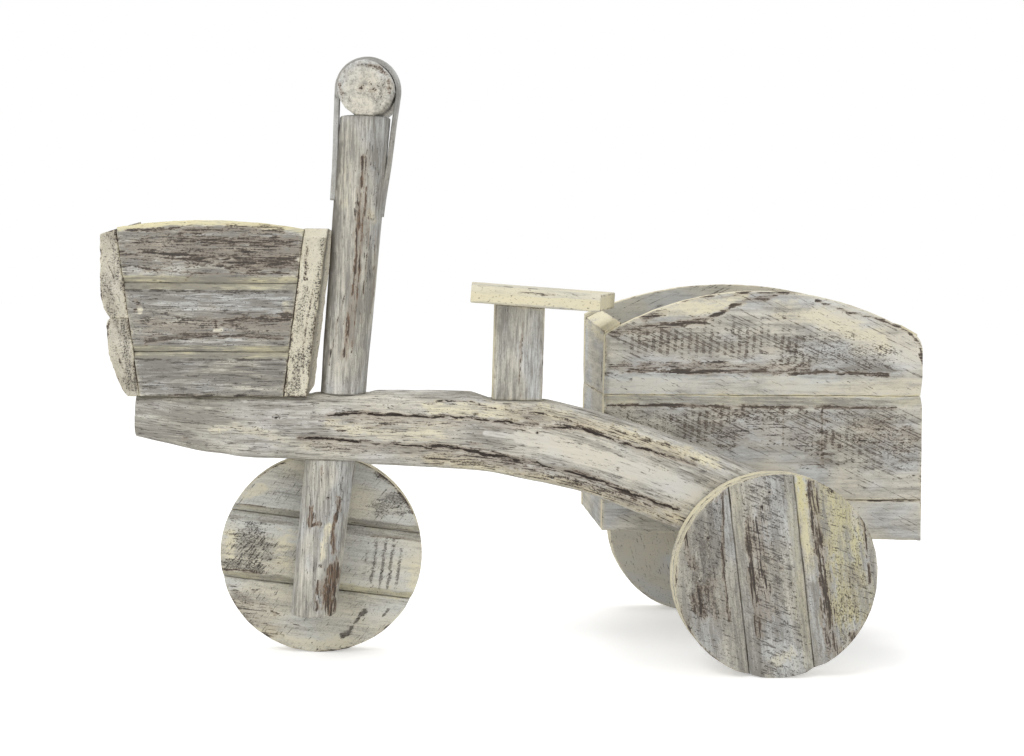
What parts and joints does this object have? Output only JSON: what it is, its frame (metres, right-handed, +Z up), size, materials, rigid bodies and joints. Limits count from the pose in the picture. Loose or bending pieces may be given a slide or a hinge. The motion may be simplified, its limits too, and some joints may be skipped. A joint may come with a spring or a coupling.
{
  "type": "planter stand",
  "caption": "Rustic whitewashed wooden planter stand in the form of a tricycle, with a front basket, a seat board and a large open rear box for pots.",
  "frame": {"origin": "middle of the bounding box, on the ground under the wheels", "axes": "+Z up, +X from the basket in front to the box behind, +Y from the beam's side to the far side"},
  "size_m": [0.7316, 0.266, 0.5201],
  "materials": {
    "beam_wood": "whitewashed branch with cracks",
    "board_wood": "whitewashed sawn board",
    "branch_wood": "whitewashed round branch",
    "plain_wood": "bare wood",
    "screw_steel": "dull zinc",
    "slab_wood": "whitewashed end grain",
    "strap_wood": "thin split slat",
    "wheel_wood": "whitewashed sawn board"
  },
  "bodies": {
    "root": {"basket_far_board_1": "board_wood", "basket_far_board_2": "board_wood", "basket_far_board_3": "board_wood", "basket_floor_board_1": "board_wood", "basket_floor_board_2": "board_wood", "basket_lower_slab": "slab_wood", "basket_near_board_1": "board_wood", "basket_near_board_2": "board_wood", "basket_near_board_3": "board_wood", "basket_rear_panel": "slab_wood", "basket_screws": "screw_steel", "basket_upper_slab": "slab_wood", "beam": "beam_wood", "block_screws": "screw_steel", "box_batten_1": "board_wood", "box_batten_2": "board_wood", "box_batten_3": "board_wood", "box_batten_4": "board_wood", "box_far_board_1": "board_wood", "box_far_board_2": "board_wood", "box_far_board_3": "board_wood", "box_floor_board_1": "board_wood", "box_floor_board_2": "board_wood", "box_front_board_1": "board_wood", "box_front_board_2": "board_wood", "box_near_board_1": "board_wood", "box_near_board_2": "board_wood", "box_near_board_3": "board_wood", "box_rear_board_1": "board_wood", "box_rear_board_2": "board_wood", "box_screws": "screw_steel", "far_wheel_backing_1": "wheel_wood", "far_wheel_backing_2": "wheel_wood", "far_wheel_block": "board_wood", "far_wheel_board_1": "wheel_wood", "far_wheel_board_2": "wheel_wood", "far_wheel_board_3": "wheel_wood", "far_wheel_screws": "screw_steel", "fork_leg": "branch_wood", "front_wheel_backing_1": "wheel_wood", "front_wheel_backing_2": "wheel_wood", "front_wheel_board_1": "wheel_wood", "front_wheel_board_2": "wheel_wood", "front_wheel_board_3": "wheel_wood", "front_wheel_screws": "screw_steel", "handlebar_log": "branch_wood", "handlebar_screw": "screw_steel", "handlebar_strap": "strap_wood", "near_wheel_backing_1": "wheel_wood", "near_wheel_backing_2": "wheel_wood", "near_wheel_board_1": "wheel_wood", "near_wheel_board_2": "wheel_wood", "near_wheel_board_3": "wheel_wood", "near_wheel_screws": "screw_steel", "seat_board": "board_wood", "seat_dowel": "plain_wood", "seat_post": "board_wood", "seat_screws": "screw_steel", "steering_dowel": "plain_wood", "steering_post": "branch_wood"}
  },
  "joints": []
}
